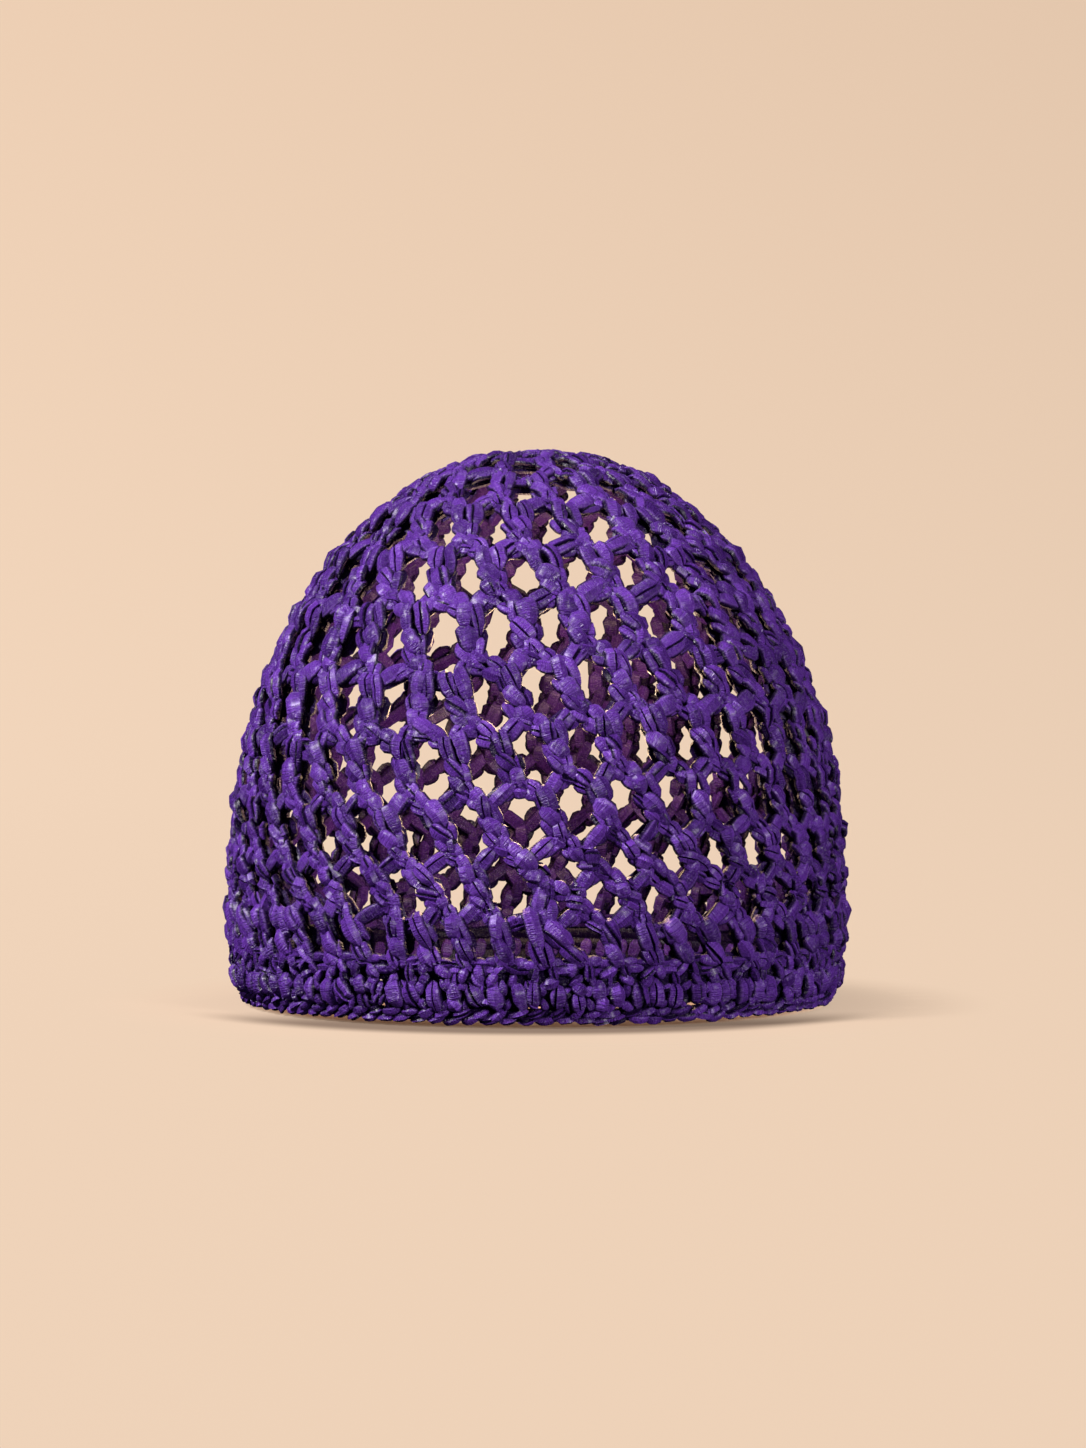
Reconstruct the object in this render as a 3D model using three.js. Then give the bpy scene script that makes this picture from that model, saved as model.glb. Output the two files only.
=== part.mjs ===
// A crocheted openwork cap: a round dome of ribbon stitches with an open,
// staggered lattice of holes, worked in rounds from a starting ring at the top
// and closed below by a dense band and a chain edge.
// Millimetres, +Z up. The origin is the centre of the surface that the rim
// rests on, and the front of the cap faces -Y.

import * as THREE from 'three';

// ---------------------------------------------------------------- sizes

const FABRIC_THICKNESS = 5.0;   // two to three layers of ribbon in a stitch
const PIECE_GAP = 0.3;          // clearance between the last round, band and edge
const FOOT_GAP = 0.55;           // clearance between a foot and the chain it hangs from
const RUN_GAP = 0.9;            // least clearance between one chain and the next
const FOOT_ROOM = 0.3;          // clearance beside a foot that shares its space
const FOOT_SAMPLES = 12;        // places across a foot where that clearance is kept
const RING_SEGMENTS = 44;       // flats around the band and the edge
const CHAIN_HALF_WIDTH = 2.3;   // half the height of a run of chain stitches
const FOOT_DROP = 1.9;          // a foot pulls its chain down by this much
const CHAIN_LIFT = 2.1;         // a post's end holds its chain up by this much
const START_RING = 4.6;         // arc distance of the starting chain from the top
const FOOT_SPOT = { first: 0.24, last: 0.80 };  // where along a space a foot may hang
const STRAY = { turn: 0.7, arc: 0.7 };  // hand-made unevenness, degrees and mm

// Outer surface of the cap: height above the rim and radius from the axis.
const PROFILE = [
  { height: 165.9, radius: 0.0 },
  { height: 165.3, radius: 9.2 },
  { height: 163.9, radius: 18.1 },
  { height: 161.0, radius: 26.4 },
  { height: 157.1, radius: 34.4 },
  { height: 151.9, radius: 41.9 },
  { height: 146.1, radius: 48.8 },
  { height: 137.6, radius: 57.6 },
  { height: 130.6, radius: 63.3 },
  { height: 122.4, radius: 68.9 },
  { height: 113.3, radius: 74.0 },
  { height: 104.6, radius: 78.4 },
  { height: 95.2, radius: 82.2 },
  { height: 85.6, radius: 85.4 },
  { height: 76.9, radius: 87.6 },
  { height: 68.1, radius: 89.2 },
  { height: 59.1, radius: 90.3 },
  { height: 50.0, radius: 91.2 },
  { height: 41.0, radius: 91.8 },
  { height: 30.0, radius: 92.1 },
  { height: 20.0, radius: 91.9 },
  { height: 10.6, radius: 91.2 },
  { height: 5.4, radius: 90.1 },
  { height: 2.4, radius: 89.2 },
  { height: 0.0, radius: 88.0 },
];

// Rounds of the lattice from the top down. posts: stitches in the round;
// phase: turn from the front of one post's foot, in degrees; chain: arc
// distance from the top of the chain below them; rise: how far that chain
// climbs from left to right across the front; lean: turn of the posts from
// foot to end, in degrees; foot and end: half the width of a post there.
const ROUNDS = [
  { posts: 7,  phase: 12.0,  chain: 18.6,  rise: 0.0, lean: 4.0, foot: 1.25, end: 2.6 },
  { posts: 12, phase: 4.6,   chain: 33.8,  rise: 0.0, lean: 3.0, foot: 2.4, end: 2.8 },
  { posts: 17, phase: 1.3,   chain: 49.8,  rise: 0.0, lean: 2.2, foot: 2.8, end: 3.0 },
  { posts: 21, phase: 9.8,   chain: 68.0,  rise: 0.4, lean: 2.0, foot: 3.0, end: 3.1 },
  { posts: 25, phase: 2.1,   chain: 86.2,  rise: 2.7, lean: 2.0, foot: 3.0, end: 3.1 },
  { posts: 29, phase: 8.9,   chain: 106.0, rise: 5.2, lean: 2.0, foot: 3.1, end: 3.2 },
  { posts: 34, phase: 5.6,   chain: 125.3, rise: 6.0, lean: 2.2, foot: 3.1, end: 3.2 },
  { posts: 37, phase: 3.3,   chain: 143.8, rise: 6.2, lean: 1.9, foot: 3.1, end: 3.2 },
  { posts: 37, phase: 1.0,   chain: 161.4, rise: 6.2, lean: 2.3, foot: 3.1, end: 3.2 },
  { posts: 37, phase: -1.3,  chain: 179.8, rise: 0.0, lean: 2.2, foot: 3.1, end: 3.2 },
];
const RISE_WIDTH = 0.40;        // how sharply the rounds climb at the front, rad

// A short extra round fills the wedge at the right, where the others climb: it
// runs between two turns, with a foot part way along each space, and the chain
// above is lifted over a ramp and let down over a fade. The next round's feet
// stand clear of its two ends.
const WEDGE = { from: -2.5, to: 108.0, foot_at: 0.55, lift: 9.8, ramp_from: -7.0, ramp: 16.0,
  fade_to: 142.0, fade: 46.0, chain: 181.4, clear: 2.95, lean: 1.6, foot: 2.9, end: 3.0 };

// The last round is closer set and level, and ends on the band.
const LAST = { posts: 54, phase: -1.2, chain: 194.3, lean: 2.5, foot: 2.5, end: 2.6 };

// The band and the edge, as arc distances along the profile.
const BAND = { bottom: 206.6, groove: 201.4, groove_depth: 0.7, thickness: 5.0 };
const EDGE = { thickness: 4.4, foot_width: 3.4 };

const CAP_COLOUR = 0x4f2e96;

// -------------------------------------------------------------- surface

const rad = THREE.MathUtils.degToRad;
const spine = new THREE.CatmullRomCurve3(
  PROFILE.map((p) => new THREE.Vector3(p.radius, p.height, 0)), false, 'centripetal');
spine.arcLengthDivisions = 2400;
const SPINE_LENGTH = spine.getLength();

// The outer surface at an arc distance from the top, and its outward normal.
function profileAt(arc) {
  const u = THREE.MathUtils.clamp(arc / SPINE_LENGTH, 0, 1);
  const p = spine.getPointAt(u);
  const t = spine.getTangentAt(THREE.MathUtils.clamp(u, 0.002, 0.998));
  return { radius: p.x, height: p.y, nr: -t.y, nz: t.x };
}

// A point at a turn from the front and an arc distance, some way below the
// outer surface.
function place(turn, arc, depth) {
  const p = profileAt(arc);
  const r = p.radius - p.nr * depth;
  return [r * Math.sin(turn), -r * Math.cos(turn), p.height - p.nz * depth];
}

function wrap(turn) {
  let t = turn % (2 * Math.PI);
  if (t > Math.PI) t -= 2 * Math.PI;
  if (t < -Math.PI) t += 2 * Math.PI;
  return t;
}

function smooth(x) {
  const t = THREE.MathUtils.clamp(x, 0, 1);
  return t * t * (3 - 2 * t);
}

// The arc distance of a round's chain at a turn: it climbs across the front,
// and above the wedge it is lifted by the short extra round.
function chainArc(index, turn) {
  const t = wrap(turn);
  const round = ROUNDS[index];
  let arc = round.chain - round.rise * Math.tanh(t / RISE_WIDTH) * Math.cos(t / 2);
  if (index === ROUNDS.length - 1) {
    const up = smooth((t - rad(WEDGE.ramp_from)) / rad(WEDGE.ramp));
    const down = smooth((rad(WEDGE.fade_to) - t) / rad(WEDGE.fade));
    arc -= WEDGE.lift * up * down;
  }
  return arc;
}

// ---------------------------------------------------------- the lattice

// Each round is a piece of its own: posts that hang under the chain above, and
// the chain that joins their ends. Knots are shared by number, because a foot
// hangs where the chain above dips, but every piece has its own struts.
const knots = [];
const pieces = [];

// A fixed value from -1 to 1 for a knot, so the unevenness never changes.
function stray(number, kind) {
  const x = Math.sin(number * 12.9898 + kind * 78.233) * 43758.5453;
  return 2 * (x - Math.floor(x)) - 1;
}

function knot(turn, arc, even = false) {
  const n = knots.length;
  const u = even ? 0 : rad(STRAY.turn) * stray(n, 1);
  const v = even ? 0 : STRAY.arc * stray(n, 2);
  knots.push({ turn: turn + u, arc: arc + v });
  return n;
}

// A piece of fabric: for each knot its struts, the struts in order, the knots
// where a strut ends free, and the pieces that hang above it.
function fabric(name, above) {
  const piece = { name, above, out: new Map(), struts: [], free: new Map(), hem: [] };
  pieces.push(piece);
  return piece;
}

function strut(piece, a, b, halfA, halfB, runs = false) {
  piece.struts.push({ a, b, runs });
  for (const [from, to, half] of [[a, b, halfA], [b, a, halfB]]) {
    if (!piece.out.has(from)) piece.out.set(from, []);
    piece.out.get(from).push({ to, half });
  }
}

// Joins a list of knots in order into a run of chain stitches.
function chain(piece, list, closed) {
  const n = list.length;
  for (let i = 0; i < (closed ? n : n - 1); i += 1) {
    strut(piece, list[i], list[(i + 1) % n], CHAIN_HALF_WIDTH, CHAIN_HALF_WIDTH, true);
  }
}

// Hangs the posts of a round: a post is narrower at its foot where it shares
// a space with its neighbour.
function hangPosts(piece, feet, ends, halfFoot, halfEnd) {
  const n = feet.length;
  feet.forEach((foot, i) => {
    const k = knots[foot.knot];
    let room = Infinity;
    for (const other of [feet[(i + 1) % n], feet[(i + n - 1) % n]]) {
      const r = profileAt(k.arc + CHAIN_HALF_WIDTH).radius;
      room = Math.min(room, Math.abs(wrap(knots[other.knot].turn - k.turn)) * r);
    }
    const half = Math.min(halfFoot, 0.5 * room - FOOT_ROOM);
    strut(piece, foot.knot, ends[i].knot, half, halfEnd);
    piece.free.set(foot.knot, { half, hangs: true });
  });
}

// Turns of a round's stitches, evenly spaced from the one at its phase.
function evenTurns({ posts, phase }) {
  return Array.from({ length: posts }, (_, i) => rad(phase) + (2 * Math.PI * i) / posts);
}

// Hangs feet along a chain at the turns given, but not too near to either side
// of the space that each falls in. Returns the feet, and the chain's knots in
// order.
function hangFeet(ends, closed, turns) {
  const feet = [];
  const order = [];
  for (let j = 0; j < (closed ? ends.length : ends.length - 1); j += 1) {
    order.push(ends[j]);
    const a = ends[j].turn;
    const b = j + 1 < ends.length ? ends[j + 1].turn : ends[0].turn + 2 * Math.PI;
    const along = turns.map((t) => THREE.MathUtils.euclideanModulo(t - a, 2 * Math.PI) / (b - a))
      .filter((f) => f < 1).sort((f, g) => f - g);
    for (const f of along) {
      const spot = THREE.MathUtils.clamp(f, FOOT_SPOT.first, FOOT_SPOT.last);
      const foot = { turn: a + (b - a) * spot, even: a + (b - a) * f };
      feet.push(foot);
      order.push(foot);
    }
  }
  if (!closed) order.push(ends[ends.length - 1]);
  return { feet, order };
}

// Ends for a round's posts, evenly spaced and turned by its lean, so that two
// posts in one space fan out.
function endsFor(feet, lean) {
  return feet.map((f) => ({ turn: f.even + rad(lean) }));
}

function buildLattice() {
  // Turns of all feet and ends, from the starting ring down.
  const top = ROUNDS.length - 1;
  const layout = [];
  let feet = evenTurns(ROUNDS[0]).map((turn) => ({ turn, even: turn }));
  let order = feet;
  ROUNDS.forEach((round, index) => {
    const ends = endsFor(feet, round.lean);
    layout.push({ round, index, feet, ends, order });
    if (index < top) ({ feet, order } = hangFeet(ends, true, evenTurns(ROUNDS[index + 1])));
  });
  for (const { index, feet: from, ends } of layout) {
    from.forEach((foot, i) => {
      const arc = index === 0 ? START_RING : chainArc(index - 1, foot.turn) + FOOT_DROP;
      foot.knot = knot(foot.turn, arc, index === 0);
      ends[i].knot = knot(ends[i].turn, chainArc(index, ends[i].turn) - CHAIN_LIFT);
    });
  }

  // The starting ring and the full rounds. A round's chain also runs through
  // the places where the next round's feet pull it down.
  let above = fabric('start_ring', []);
  chain(above, layout[0].order.map((o) => o.knot), true);
  for (const { round, index, feet: from, ends } of layout) {
    const piece = fabric(`open_round_${String(index + 1).padStart(2, '0')}`, [above]);
    hangPosts(piece, from, ends, round.foot, round.end);
    if (index < top) chain(piece, layout[index + 1].order.map((o) => o.knot), true);
    above = piece;
  }
  const tenth = above;

  // The short round: one foot in every space of the wedge.
  const ends = layout[top].ends.map((e) => ({ ...e, turn: wrap(e.turn) }))
    .sort((p, q) => p.turn - q.turn);
  const inWedge = (e) => e.turn > rad(WEDGE.from) && e.turn < rad(WEDGE.to);
  const start = ends.findIndex(inWedge);
  const wedge = ends.filter(inWedge);
  const rest = ends.slice(start + wedge.length - 1).concat(
    ends.slice(0, start + 1).map((e) => ({ ...e, turn: e.turn + 2 * Math.PI })));
  const spots = wedge.slice(1).map((e, i) => wedge[i].turn
    + (e.turn - wedge[i].turn) * WEDGE.foot_at);
  const short = hangFeet(wedge, false, spots);
  const shortEnds = endsFor(short.feet, WEDGE.lean);
  short.feet.forEach((foot, i) => {
    foot.knot = knot(foot.turn, chainArc(top, foot.turn) + FOOT_DROP);
    shortEnds[i].knot = knot(shortEnds[i].turn, WEDGE.chain - CHAIN_LIFT);
  });

  // The last round's feet are shared over the rest of the tenth chain and over
  // the short round's chain.
  const turns = evenTurns(LAST);
  const onRest = hangFeet(rest, false, turns);
  const branch = [wedge[0], ...shortEnds, wedge[wedge.length - 1]];
  const onShort = hangFeet(branch, false, turns);
  onShort.feet[0].turn -= rad(WEDGE.clear);
  onShort.feet[onShort.feet.length - 1].turn += rad(WEDGE.clear);
  const lastFeet = [];
  for (const part of [onShort, onRest]) {
    for (const foot of part.feet) {
      const over = part === onShort ? WEDGE.chain : chainArc(top, foot.turn);
      foot.knot = knot(foot.turn, over + FOOT_DROP);
      lastFeet.push(foot);
    }
  }
  const lastEnds = endsFor(lastFeet, LAST.lean);
  for (const end of lastEnds) end.knot = knot(end.turn, LAST.chain, true);

  // The tenth chain runs through the feet of both, and the short round's own
  // chain starts and stops a little below it.
  chain(tenth, [...short.order.slice(0, -1), ...onRest.order.slice(0, -1)].map((o) => o.knot),
    true);
  const shortRound = fabric('short_round', [tenth]);
  hangPosts(shortRound, short.feet, shortEnds, WEDGE.foot, WEDGE.end);
  const run = onShort.order.slice(1, -1).map((o) => o.knot)
    .filter((k) => clearOf(k, shortEnds));
  chain(shortRound, run, false);
  for (const k of [run[0], run[run.length - 1]]) {
    if (shortRound.out.get(k).length === 1) {
      shortRound.free.set(k, { half: CHAIN_HALF_WIDTH, hangs: false });
    }
  }

  const last = fabric('close_round_11', [tenth, shortRound]);
  hangPosts(last, lastFeet, lastEnds, LAST.foot, LAST.end);
  chain(last, lastEnds.map((e) => e.knot), true);
}

// Whether a knot lies between the first and the last end of the short round.
function clearOf(k, ends) {
  const t = wrap(knots[k].turn);
  return t >= knots[ends[0].knot].turn - 1e-9 &&
    t <= knots[ends[ends.length - 1].knot].turn + 1e-9;
}

// How far down the fabric above reaches at a turn.
function hemAt(above, turn) {
  let arc = -Infinity;
  for (const piece of above) {
    for (const [p, q] of piece.hem) {
      const span = wrap(q.turn - p.turn);
      const d = wrap(turn - p.turn);
      if (d >= -1e-9 && d <= span + 1e-9) {
        arc = Math.max(arc, p.arc + ((q.arc - p.arc) * d) / span);
      }
    }
  }
  return arc;
}

// The arc distances at two turns of a straight line that clears the fabric
// above by a gap all the way between them.
function clearLine(above, from, to, gap) {
  const ends = [hemAt(above, from), hemAt(above, to)];
  let down = 0;
  for (let i = 1; i < FOOT_SAMPLES; i += 1) {
    const f = i / FOOT_SAMPLES;
    const line = ends[0] + (ends[1] - ends[0]) * f;
    down = Math.max(down, hemAt(above, from + (to - from) * f) - line);
  }
  return ends.map((arc) => arc + down + gap);
}

// Gives every knot of a piece its corners, one between each pair of
// neighbouring struts and two where a strut ends free.
function cornersOf(piece) {
  const key = (a, b) => `${a}>${b}`;
  const corner = new Map();
  const finish = new Map();
  const points = [];
  for (const [v, out] of piece.out) {
    const k = knots[v];
    const here = Math.max(profileAt(k.arc).radius, 0.5);
    for (const o of out) {
      const other = knots[o.to];
      const r = Math.max(0.5 * (here + profileAt(other.arc).radius), 0.5);
      const x = wrap(other.turn - k.turn) * r;
      const y = k.arc - other.arc;
      const length = Math.hypot(x, y);
      Object.assign(o, { dx: x / length, dy: y / length, length, angle: Math.atan2(y, x) });
    }
  }
  for (const [v, out] of piece.out) {
    const k = knots[v];
    const here = Math.max(profileAt(k.arc).radius, 0.5);
    const n = out.length;
    if (n === 1) {
      // a free end has a corner on the left of its strut and one on the right
      const { half, hangs } = piece.free.get(v);
      const o = out[0];
      const turns = [1, -1].map((side) =>
        k.turn + (side * half * (hangs ? 1 : -o.dy)) / here);
      const arcs = hangs ? clearLine(piece.above, turns[0], turns[1], FOOT_GAP)
        : [k.arc - o.dx * half, k.arc + o.dx * half];
      const pair = turns.map((turn, i) => points.push({ turn, arc: arcs[i] }) - 1);
      corner.set(key(v, o.to), pair[0]);
      finish.set(key(o.to, v), pair[1]);
      continue;
    }
    out.sort((p, q) => p.angle - q.angle);
    out.forEach((o, i) => {
      const p = out[(i + 1) % n];
      let open = p.angle - o.angle;
      if (open <= 0) open += 2 * Math.PI;
      const limit = 0.44 * Math.min(o.length, p.length);
      let x;
      let y;
      if (open < rad(140)) {
        x = (p.half * o.dx + o.half * p.dx) / Math.sin(open);
        y = (p.half * o.dy + o.half * p.dy) / Math.sin(open);
      } else {
        const mid = o.angle + open / 2;
        const reach = (0.5 * (o.half + p.half)) / Math.max(Math.sin(open / 2), 0.7);
        x = Math.cos(mid) * reach;
        y = Math.sin(mid) * reach;
      }
      const reach = Math.hypot(x, y);
      if (reach > limit) { x *= limit / reach; y *= limit / reach; }
      corner.set(key(v, o.to), points.length);
      finish.set(key(p.to, v), points.length);
      const turn = k.turn + x / here;
      const arc = Math.max(k.arc - y, hemAt(piece.above, turn) + RUN_GAP);
      points.push({ turn, arc });
    });
  }
  return { key, corner, finish, points };
}

// A piece of fabric as one closed solid: knots and struts outside and inside,
// and walls around its holes and edges. Its lower edge is kept as its hem.
function fabricGeometry(piece) {
  const { key, corner, finish, points } = cornersOf(piece);
  const n = points.length;
  const position = [];
  for (const depth of [0, FABRIC_THICKNESS]) {
    for (const p of points) position.push(...place(p.turn, p.arc, depth));
  }
  const index = [];
  const both = (a, b, c) => { index.push(a, b, c, n + a, n + c, n + b); };
  const wall = (a, b) => { index.push(a, b, n + b, a, n + b, n + a); };
  for (const [v, out] of piece.out) {
    const c = out.map((o) => corner.get(key(v, o.to)));
    for (let i = 1; i + 1 < c.length; i += 1) both(c[0], c[i], c[i + 1]);
    if (out.length === 1) wall(finish.get(key(out[0].to, v)), corner.get(key(v, out[0].to)));
  }
  for (const { a, b, runs } of piece.struts) {
    const ab = key(a, b);
    const ba = key(b, a);
    const p = [finish.get(ba), corner.get(ba), finish.get(ab), corner.get(ab)];
    both(p[0], p[1], p[2]);
    both(p[0], p[2], p[3]);
    wall(corner.get(ab), finish.get(ab));
    wall(corner.get(ba), finish.get(ba));
    if (runs) piece.hem.push([points[p[0]], points[p[1]]]);
  }
  const geometry = new THREE.BufferGeometry();
  geometry.setAttribute('position', new THREE.Float32BufferAttribute(position, 3));
  geometry.setIndex(index);
  geometry.computeVertexNormals();
  return geometry;
}

// ------------------------------------------------------- band and edge

// A ring turned from a closed outline of radius and height, with a corner of
// its flats at the front.
function ring(outline) {
  const path = outline.map(([r, z]) => new THREE.Vector2(r, z));
  path.push(path[0].clone());
  const geometry = new THREE.LatheGeometry(path, RING_SEGMENTS);
  geometry.rotateX(Math.PI / 2);
  return geometry;
}

function offsetPoint(arc, depth) {
  const p = profileAt(arc);
  return [p.radius - p.nr * depth, p.height - p.nz * depth];
}

// The band starts level under the dome, dips at the groove between its two
// courses, and ends level above the edge.
function bandOutline() {
  const top = lowestOfDome - PIECE_GAP;
  const low = offsetPoint(BAND.bottom, 0);
  const groove = offsetPoint(BAND.groove, BAND.groove_depth);
  const upper = profileAt(LAST.chain + CHAIN_HALF_WIDTH);
  const inner = offsetPoint(BAND.groove, BAND.thickness);
  return [
    [low[0], low[1]], groove, [upper.radius, top],
    [upper.radius - BAND.thickness, top],
    inner,
    [low[0] - BAND.thickness, low[1]],
  ];
}

// The edge rests on a flat foot and curls in a little below the band.
function edgeOutline() {
  const top = offsetPoint(BAND.bottom, 0)[1] - PIECE_GAP;
  const shoulder = profileAt(BAND.bottom + 1.2);
  const foot = PROFILE[PROFILE.length - 1];
  return [
    [foot.radius, 0.0],
    [PROFILE[PROFILE.length - 2].radius, PROFILE[PROFILE.length - 2].height],
    [shoulder.radius, top],
    [shoulder.radius - EDGE.thickness, top],
    [foot.radius - EDGE.foot_width, 0.0],
  ];
}

// ------------------------------------------------------------- assembly

function mesh(name, geometry) {
  const material = new THREE.MeshStandardMaterial({
    color: CAP_COLOUR, roughness: 0.75, metalness: 0.0, flatShading: true });
  const piece = new THREE.Mesh(geometry, material);
  piece.name = name;
  return piece;
}

const cap = new THREE.Group();
buildLattice();
let lowestOfDome = Infinity;
for (const piece of pieces) {
  const geometry = fabricGeometry(piece);
  geometry.computeBoundingBox();
  lowestOfDome = Math.min(lowestOfDome, geometry.boundingBox.min.z);
  cap.add(mesh(piece.name, geometry));
}
cap.add(mesh('rim_band', ring(bandOutline())));
cap.add(mesh('rim_edge', ring(edgeOutline())));

export default cap;
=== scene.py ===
import math

import bpy
import numpy as np
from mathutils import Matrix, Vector


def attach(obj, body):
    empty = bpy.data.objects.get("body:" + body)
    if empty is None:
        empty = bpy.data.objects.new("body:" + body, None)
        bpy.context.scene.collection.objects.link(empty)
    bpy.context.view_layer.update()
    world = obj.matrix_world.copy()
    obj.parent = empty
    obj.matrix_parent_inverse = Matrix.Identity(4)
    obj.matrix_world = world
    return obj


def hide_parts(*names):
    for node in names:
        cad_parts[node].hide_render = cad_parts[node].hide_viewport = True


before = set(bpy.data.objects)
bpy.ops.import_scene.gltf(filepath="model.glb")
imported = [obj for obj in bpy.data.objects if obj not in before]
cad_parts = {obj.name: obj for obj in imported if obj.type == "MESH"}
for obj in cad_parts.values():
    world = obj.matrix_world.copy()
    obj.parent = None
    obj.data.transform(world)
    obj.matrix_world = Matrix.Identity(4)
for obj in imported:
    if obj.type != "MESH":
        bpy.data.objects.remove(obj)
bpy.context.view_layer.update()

RNG = np.random.default_rng(7)

# ---------------------------------------------------------------------------
# The cap's surface, in millimetres: the same profile, rounds and knots as the
# solid model, so every stitch lies in the lattice that the solids hold.
# ---------------------------------------------------------------------------

PROFILE = [
    (165.9, 0.0), (165.3, 9.2), (163.9, 18.1), (161.0, 26.4), (157.1, 34.4),
    (151.9, 41.9), (146.1, 48.8), (137.6, 57.6), (130.6, 63.3), (122.4, 68.9),
    (113.3, 74.0), (104.6, 78.4), (95.2, 82.2), (85.6, 85.4), (76.9, 87.6),
    (68.1, 89.2), (59.1, 90.3), (50.0, 91.2), (41.0, 91.8), (30.0, 92.1),
    (20.0, 91.9), (10.6, 91.2), (5.4, 90.1), (2.4, 89.2), (0.0, 88.0),
]  # height above the rim, radius

# posts, turn of a foot (degrees), chain arc, rise, lean (degrees), half width at
# the foot and at the end
ROUNDS = [
    (7, 12.0, 18.6, 0.0, 4.0, 1.25, 2.6),
    (12, 4.6, 33.8, 0.0, 3.0, 2.4, 2.8),
    (17, 1.3, 49.8, 0.0, 2.2, 2.8, 3.0),
    (21, 9.8, 68.0, 0.4, 2.0, 3.0, 3.1),
    (25, 2.1, 86.2, 2.7, 2.0, 3.0, 3.1),
    (29, 8.9, 106.0, 5.2, 2.0, 3.1, 3.2),
    (34, 5.6, 125.3, 6.0, 2.2, 3.1, 3.2),
    (37, 3.3, 143.8, 6.2, 1.9, 3.1, 3.2),
    (37, 1.0, 161.4, 6.2, 2.3, 3.1, 3.2),
    (37, -1.3, 179.8, 0.0, 2.2, 3.1, 3.2),
]
FOOT_DROP, CHAIN_LIFT, START_RING = 3.2, 3.3, 4.6
STRAY_TURN, STRAY_ARC = 0.7, 0.7
FOOT_SPOT = (0.24, 0.80)
RISE_WIDTH = 0.40
WEDGE = dict(start=-2.5, stop=108.0, foot_at=0.55, lift=9.8, ramp_from=-7.0, ramp=16.0,
             fade_to=142.0, fade=46.0, chain=181.4, clear=2.6, lean=1.6, foot=2.9, end=3.0)
LAST = dict(posts=54, phase=-1.2, chain=194.3, lean=2.5, foot=2.5, end=2.6)
REF_DEPTH = 2.3      # the middle of the stitches lies this far under the outline
TAU = 2 * math.pi
rad = math.radians


def sample_profile(step=48):
    """The centripetal curve through PROFILE, as arc distance, radius, height and tangent."""
    pts = np.array([(r, z) for z, r in PROFILE])
    pts = np.vstack([2 * pts[0] - pts[1], pts, 2 * pts[-1] - pts[-2]])
    out = []
    for i in range(1, len(pts) - 2):
        p0, p1, p2, p3 = pts[i - 1:i + 3]
        d0, d1, d2 = (math.sqrt(np.linalg.norm(b - a)) for a, b in ((p0, p1), (p1, p2), (p2, p3)))
        t1 = ((p1 - p0) / d0 - (p2 - p0) / (d0 + d1) + (p2 - p1) / d1) * d1
        t2 = ((p2 - p1) / d1 - (p3 - p1) / (d1 + d2) + (p3 - p2) / d2) * d1
        t = np.linspace(0, 1, step, endpoint=False)[:, None]
        out.append(p1 + t1 * t + (-3 * p1 + 3 * p2 - 2 * t1 - t2) * t ** 2
                   + (2 * p1 - 2 * p2 + t1 + t2) * t ** 3)
    out = np.vstack(out + [pts[-2][None]])
    arc = np.concatenate([[0], np.cumsum(np.linalg.norm(np.diff(out, axis=0), axis=1))])
    tan = np.gradient(out, arc, axis=0)
    tan /= np.linalg.norm(tan, axis=1)[:, None]
    return arc, out[:, 0], out[:, 1], tan


ARC, RADIUS, HEIGHT, TANGENT = sample_profile()
ARC_END = ARC[-1]


def profile(s):
    s = np.asarray(s, float)
    over = np.maximum(s - ARC_END, 0.0)
    tr = np.interp(s, ARC, TANGENT[:, 0])
    tz = np.interp(s, ARC, TANGENT[:, 1])
    n = np.hypot(tr, tz)
    tr, tz = tr / n, tz / n
    return np.interp(s, ARC, RADIUS) + over * tr, np.interp(s, ARC, HEIGHT) + over * tz, -tz, tr


def radius_at(s):
    return float(np.interp(s, ARC, RADIUS))


def surf(turn, s, w):
    """A point of the fabric: w is how far it stands out of the middle of the stitches."""
    r, z, nr, nz = profile(s)
    depth = REF_DEPTH - np.asarray(w, float)
    rr = r - nr * depth
    return np.stack([rr * np.sin(turn), -rr * np.cos(turn), z - nz * depth], axis=-1)


def surf_normal(turn, s):
    _, _, nr, nz = profile(s)
    return np.stack([nr * np.sin(turn), -nr * np.cos(turn), nz * np.ones_like(turn)], axis=-1)


def wrap(t):
    t = math.fmod(t, TAU)
    return t - TAU if t > math.pi else t + TAU if t < -math.pi else t


def smooth(x):
    t = min(max(x, 0.0), 1.0)
    return t * t * (3 - 2 * t)


def chain_arc(index, turn):
    t = wrap(turn)
    arc = ROUNDS[index][2] - ROUNDS[index][3] * math.tanh(t / RISE_WIDTH) * math.cos(t / 2)
    if index == len(ROUNDS) - 1:
        up = smooth((t - rad(WEDGE["ramp_from"])) / rad(WEDGE["ramp"]))
        down = smooth((rad(WEDGE["fade_to"]) - t) / rad(WEDGE["fade"]))
        arc -= WEDGE["lift"] * up * down
    return arc


# ---------------------------------------------------------------------------
# Knots, posts and chains
# ---------------------------------------------------------------------------

knots = []     # (turn, arc)
posts = []     # foot knot, end knot, half width at the foot, half width at the end, round
links = []     # knot, next knot to the right, kinds of the two, the node they belong to


def stray(number, kind):
    x = math.sin(number * 12.9898 + kind * 78.233) * 43758.5453
    return 2 * (x - math.floor(x)) - 1


def knot(turn, arc, even=False):
    n = len(knots)
    u = 0 if even else rad(STRAY_TURN) * stray(n, 1)
    v = 0 if even else STRAY_ARC * stray(n, 2)
    knots.append((turn + u, arc + v))
    return n


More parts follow.
